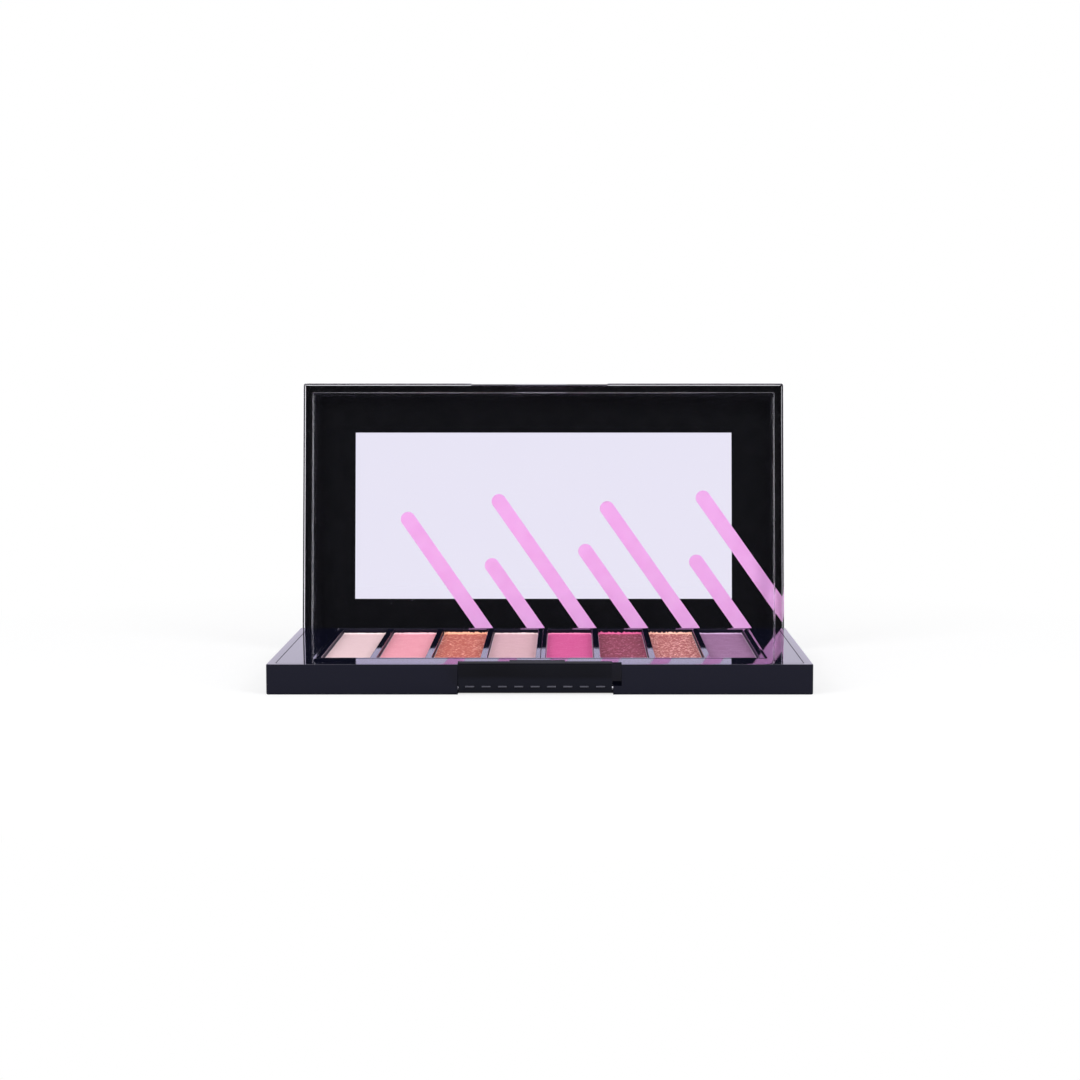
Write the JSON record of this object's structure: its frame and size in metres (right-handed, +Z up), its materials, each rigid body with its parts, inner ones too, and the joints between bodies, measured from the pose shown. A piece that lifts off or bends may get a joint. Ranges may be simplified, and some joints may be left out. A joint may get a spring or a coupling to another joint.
{
  "type": "eyeshadow palette",
  "caption": "Slim hinged palette: black base with narrow pressed-powder pans, clear lid with a printed window frame and slanted stripes, and a front flip latch.",
  "frame": {"origin": "centre of the base's flat bottom face", "axes": "+X to the right along the palette's width, +Y from the latch towards the hinge, +Z up out of the base"},
  "size_m": [0.134, 0.0925, 0.0747],
  "materials": {
    "black_plastic": "high gloss, injection moulded",
    "clear_plastic": "clear, high gloss",
    "black_print": "opaque gloss print film",
    "pink_print": "opaque gloss print film",
    "pan_metal": "satin pressed sheet",
    "steel": "drawn wire",
    "powder_1": "pressed powder, pale pink beige satin",
    "powder_2": "pressed powder, soft pink satin",
    "powder_3": "pressed powder, copper shimmer",
    "powder_4": "pressed powder, light mauve pink satin",
    "powder_5": "pressed powder, hot pink matte",
    "powder_6": "pressed powder, burgundy shimmer",
    "powder_7": "pressed powder, rose gold shimmer",
    "powder_8": "pressed powder, mauve purple satin"
  },
  "bodies": {
    "base": {"base_shell": "black_plastic", "bezel": "black_plastic", "pan_tray_left": "black_plastic", "pan_tray_right": "black_plastic", "pan_1": "pan_metal", "pan_2": "pan_metal", "pan_3": "pan_metal", "pan_4": "pan_metal", "pan_5": "pan_metal", "pan_6": "pan_metal", "pan_7": "pan_metal", "pan_8": "pan_metal", "shade_1": "powder_1", "shade_2": "powder_2", "shade_3": "powder_3", "shade_4": "powder_4", "shade_5": "powder_5", "shade_6": "powder_6", "shade_7": "powder_7", "shade_8": "powder_8", "hinge_pins": "steel", "latch_pin": "steel"},
    "lid": {"lid_shell": "clear_plastic", "lid_border": "black_print", "lid_motif": "pink_print"},
    "latch": {"latch": "black_plastic"}
  },
  "joints": [
    {"name": "lid_hinge", "type": "hinge", "parent": "base", "child": "lid", "pos_m": [0, 0.03515, 0.00385], "axis": [1, 0, 0], "range_deg": [0, 97]},
    {"name": "latch_pivot", "type": "hinge", "parent": "base", "child": "latch", "pos_m": [0, -0.0354, 0.0015], "axis": [1, 0, 0], "range_deg": [-25, 0]}
  ]
}
